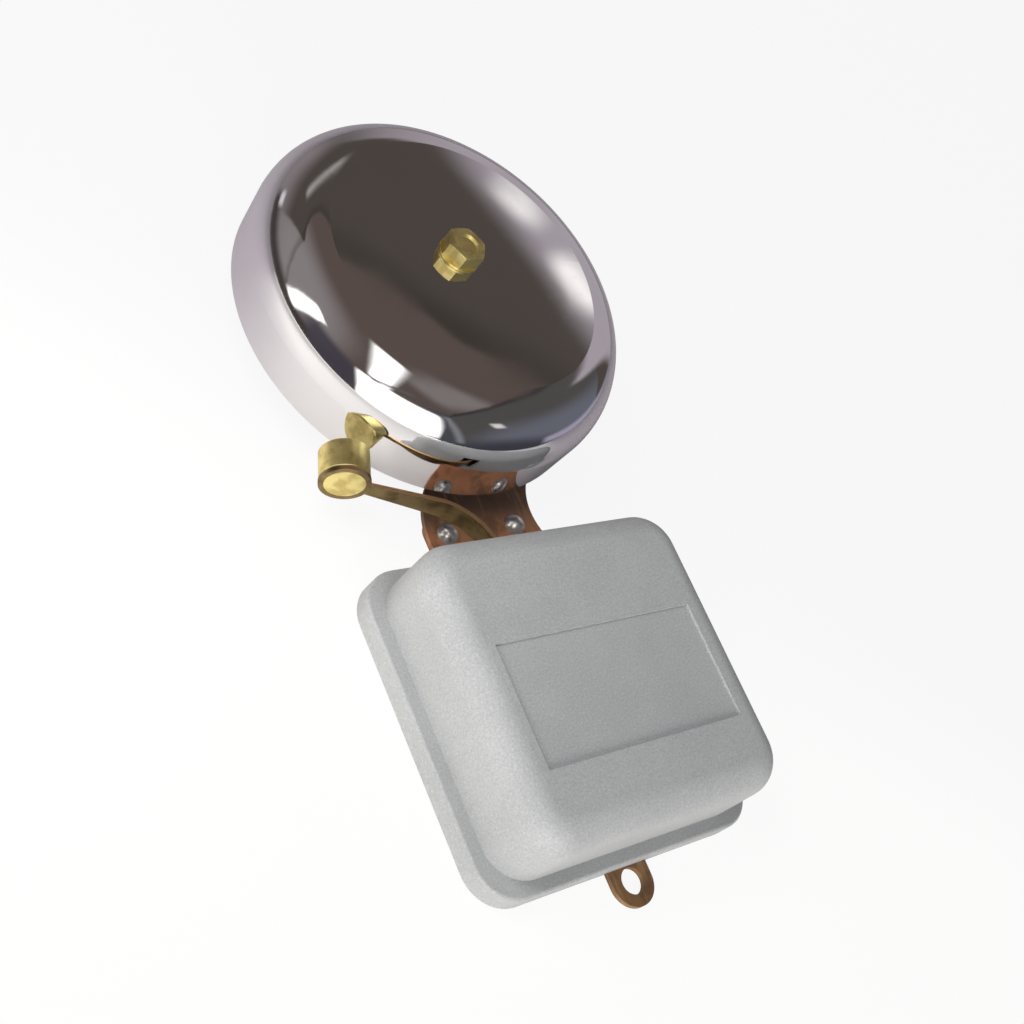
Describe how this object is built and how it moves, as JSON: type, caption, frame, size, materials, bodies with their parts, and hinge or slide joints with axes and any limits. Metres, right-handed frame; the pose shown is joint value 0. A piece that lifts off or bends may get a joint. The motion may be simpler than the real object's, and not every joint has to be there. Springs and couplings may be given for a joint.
{
  "type": "electric bell demonstrator",
  "caption": "Small electric trembler bell on a flat chassis: chromed gong, brass hammer on a sprung arm and a grey snap-over cover above the electromagnet.",
  "frame": {"origin": "centre of the fixing-lug hole on the back plane of the bell", "axes": "the bell lies on its back: +X to its right, +Y from the lug to the gong, +Z out of its front"},
  "size_m": [0.0768, 0.1543, 0.0329],
  "materials": {
    "lacquered_plate": "copper-brown passivated and lacquered steel",
    "nickel_rivet": "bright nickel",
    "gong_chrome": "polished chrome plate on pressed steel",
    "post_steel": "zinc-plated turned steel",
    "fibre": "red vulcanised fibre",
    "brass": "satin brass with wear",
    "spring_brass": "rolled brass strip",
    "spring_steel": "blued spring steel",
    "grey_moulding": "fine satin grey moulding",
    "frame_steel": "zinc-plated steel",
    "soft_iron": "annealed soft iron",
    "bobbin_plastic": "natural moulded plastic",
    "enamelled_copper": "enamelled copper wire",
    "block_plastic": "black phenolic moulding",
    "lead_insulation": "soft insulation"
  },
  "bodies": {
    "chassis": {"chassis_plate": "lacquered_plate", "gong_bracket": "lacquered_plate", "neck_rivets": "nickel_rivet", "gong": "gong_chrome", "gong_post": "post_steel", "gong_seat_washer": "fibre", "gong_bolt": "brass", "gong_bolt_washer": "brass", "contact_pillar": "brass", "contact_lock_nut": "brass", "terminal_plates": "brass", "spring_clamp": "brass", "armature_spring": "spring_steel", "base_tray": "grey_moulding", "magnet_frame": "frame_steel", "frame_screws": "frame_steel", "core_screws": "frame_steel", "clamp_screws": "frame_steel", "pillar_screw": "frame_steel", "block_screw": "frame_steel", "magnet_cores": "soft_iron", "coil_bobbins": "bobbin_plastic", "coil_windings": "enamelled_copper", "terminal_block": "block_plastic", "contact_lead": "lead_insulation", "coil_link": "lead_insulation", "frame_lead": "lead_insulation", "terminal_lead": "lead_insulation"},
    "striker": {"armature": "soft_iron", "contact_spring": "spring_brass", "contact_button": "brass", "hammer_arm": "spring_brass", "hammer": "brass", "armature_rivets": "frame_steel", "arm_rivets": "frame_steel"},
    "cover_lid": {"cover": "grey_moulding"},
    "contact_adjuster": {"contact_screw": "brass"},
    "left_terminal": {"terminal_screw_left": "frame_steel"},
    "right_terminal": {"terminal_screw_right": "frame_steel"}
  },
  "joints": [
    {"name": "striker_flexure", "type": "hinge", "parent": "chassis", "child": "striker", "pos_m": [-0.00315, 0.0168, 0.0116], "axis": [0, 0, -1], "range_deg": [0, 1.2], "stiffness_Nm_per_rad": 0.75, "springref_deg": -0.57, "deforming": ["armature_spring"]},
    {"name": "cover_lift", "type": "slide", "parent": "chassis", "child": "cover_lid", "axis": [0, 0, 1], "range_m": [0, 0.03]},
    {"name": "contact_screw_turn", "type": "hinge", "parent": "chassis", "child": "contact_adjuster", "pos_m": [-0.0154, 0.0367, 0.0116], "axis": [1, 0, 0], "range_deg": [-360, 360]},
    {"name": "left_terminal_turn", "type": "hinge", "parent": "chassis", "child": "left_terminal", "pos_m": [-0.0223, 0.0184, 0.0098], "axis": [0, 0, 1], "range_deg": [0, 720]},
    {"name": "right_terminal_turn", "type": "hinge", "parent": "chassis", "child": "right_terminal", "pos_m": [-0.0157, 0.0184, 0.0098], "axis": [0, 0, 1], "range_deg": [0, 720]}
  ]
}
